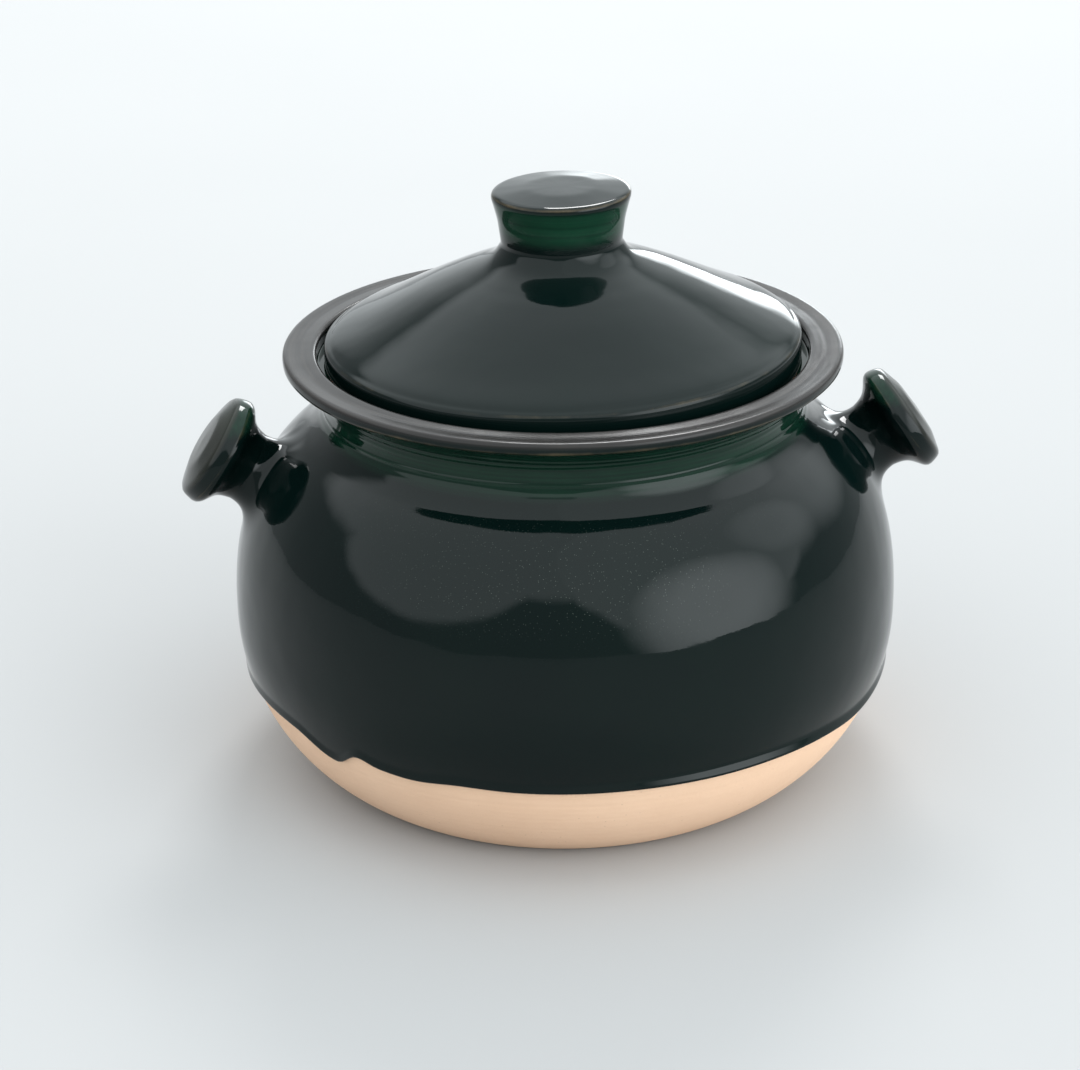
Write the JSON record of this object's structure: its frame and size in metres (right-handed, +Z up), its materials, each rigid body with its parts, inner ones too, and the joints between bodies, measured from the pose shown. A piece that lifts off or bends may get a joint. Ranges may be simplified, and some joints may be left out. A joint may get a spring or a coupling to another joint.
{
  "type": "clay cooking pot",
  "caption": "Round-bellied glazed clay cooking pot with two solid lug handles, a bare foot, and a loose domed lid with a flared knob that drops into a recess in the rim.",
  "frame": {"origin": "centre of the flat base, on the surface the pot stands on", "axes": "+Z up along the axis the pot was thrown on, +X through the right lug handle, +Y away from the viewer"},
  "size_m": [0.2628, 0.2304, 0.2034],
  "materials": {
    "clay": "matte",
    "glaze": "high gloss"
  },
  "bodies": {
    "pot": {"pot_body": "clay", "handle_left": "clay", "handle_right": "clay", "outside_glaze": "glaze", "inside_glaze": "glaze"},
    "lid": {"lid_body": "clay", "lid_knob": "clay", "lid_top_glaze": "glaze", "lid_under_glaze": "glaze"}
  },
  "joints": [
    {"name": "lid_lift", "type": "slide", "parent": "pot", "child": "lid", "axis": [0, 0, 1], "range_m": [0, 0.1]}
  ]
}
